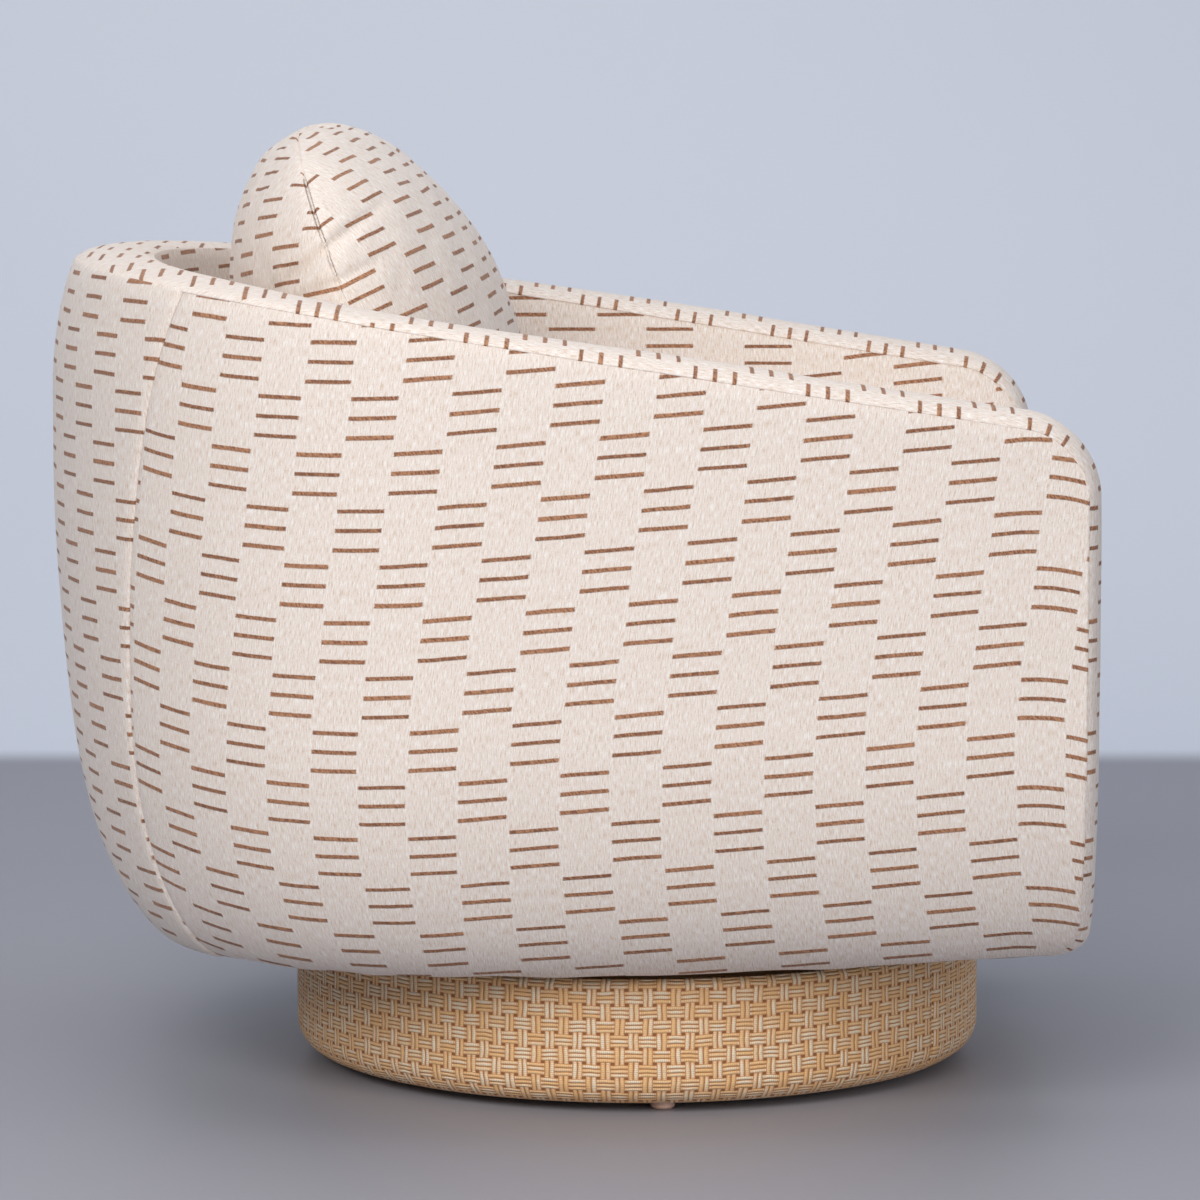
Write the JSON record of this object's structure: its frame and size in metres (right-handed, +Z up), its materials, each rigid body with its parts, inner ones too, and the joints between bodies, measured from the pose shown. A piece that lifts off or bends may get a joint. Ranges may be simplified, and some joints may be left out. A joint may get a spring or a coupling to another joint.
{
  "type": "swivel rocker chair",
  "caption": "Deep upholstered tub chair with a sloping rim, a loose seat cushion and a back pillow; it turns and rocks on a round cloth-covered plinth.",
  "frame": {"origin": "at the floor, under the middle of the chair's width and length; the swivel axis is at y -0.0641", "axes": "+Z up, the way of the swivel axis, -Y towards the front of the seat, +X towards the sitter's left"},
  "size_m": [0.8298, 0.8538, 0.7887],
  "materials": {
    "glide_nylon": "matte",
    "zinc_steel": "satin",
    "plate_steel": "satin",
    "dark_steel": "satin",
    "plywood": "matte",
    "hardwood": "matte",
    "fibreboard": "matte",
    "wadding": "matte",
    "foam": "matte",
    "plinth_cloth": "matte",
    "cage_brass": "satin",
    "black_rubber": "matte",
    "black_nylon": "matte",
    "natural_nylon": "matte",
    "black_cloth": "matte",
    "cover_cloth": "matte",
    "cushion_cloth": "matte"
  },
  "bodies": {
    "base": {"glides": "glide_nylon", "glide_screws": "zinc_steel", "plinth_bottom_ring": "plywood", "plinth_blocks": "hardwood", "plinth_wall": "plywood", "plinth_top_board": "plywood", "plinth_padding": "wadding", "plinth_cover": "plinth_cloth", "swivel_lower_plate": "plate_steel", "base_bolts": "zinc_steel", "base_tee_nuts": "zinc_steel", "king_pin": "plate_steel"},
    "cage": {"ball_cage": "cage_brass", "bearing_balls": "zinc_steel"},
    "turntable": {"swivel_upper_plate": "plate_steel", "pivot_brackets": "plate_steel", "bracket_bolts": "zinc_steel", "rocker_shaft": "zinc_steel", "shaft_clips": "dark_steel", "spring_seats": "black_nylon", "rock_stops": "black_rubber", "rock_springs_front": "dark_steel", "rock_springs_rear": "dark_steel"},
    "seat": {"rocker_top_plate": "plate_steel", "pivot_bushings": "natural_nylon", "spring_caps": "black_nylon", "mount_bolts": "zinc_steel", "mount_nuts": "zinc_steel", "bottom_frame": "plywood", "seat_board": "plywood", "stringers": "hardwood", "front_rail": "hardwood", "seat_rail": "hardwood", "ribs": "plywood", "arm_front_posts": "plywood", "rim_rail": "hardwood", "seat_springs": "dark_steel", "spring_clips": "plate_steel", "deck_cloth": "black_cloth", "dust_cloth": "black_cloth", "arm_outer_boards": "fibreboard", "back_outer_board": "fibreboard", "arm_wadding": "wadding", "back_wadding": "wadding", "outside_arm_left": "cover_cloth", "outside_arm_right": "cover_cloth", "outside_back": "cover_cloth", "inner_board": "fibreboard", "arm_foam_left": "foam", "arm_foam_right": "foam", "back_foam": "foam", "inside_arm_left": "cover_cloth", "inside_arm_right": "cover_cloth", "inside_back": "cover_cloth", "rim_padding": "wadding", "rim_band": "cover_cloth", "front_padding": "foam", "front_border": "cover_cloth", "seat_cushion": "cushion_cloth", "back_pillow": "cushion_cloth"}
  },
  "joints": [
    {"name": "swivel", "type": "hinge", "parent": "base", "child": "turntable", "pos_m": [0, -0.0641, 0.119], "axis": [0, 0, 1], "continuous": true},
    {"name": "cage_turn", "type": "hinge", "parent": "base", "child": "cage", "pos_m": [0, -0.0641, 0.119], "axis": [0, 0, 1], "continuous": true},
    {"name": "rock", "type": "hinge", "parent": "turntable", "child": "seat", "pos_m": [0, -0.0641, 0.15], "axis": [-1, 0, 0], "range_deg": [-6, 8], "stiffness_Nm_per_rad": 520, "springref_deg": -1.15, "deforming": ["rock_springs_front", "rock_springs_rear"]}
  ],
  "couplings": [
    {"joint": "cage_turn", "follows": "swivel", "ratio": 0.5}
  ]
}
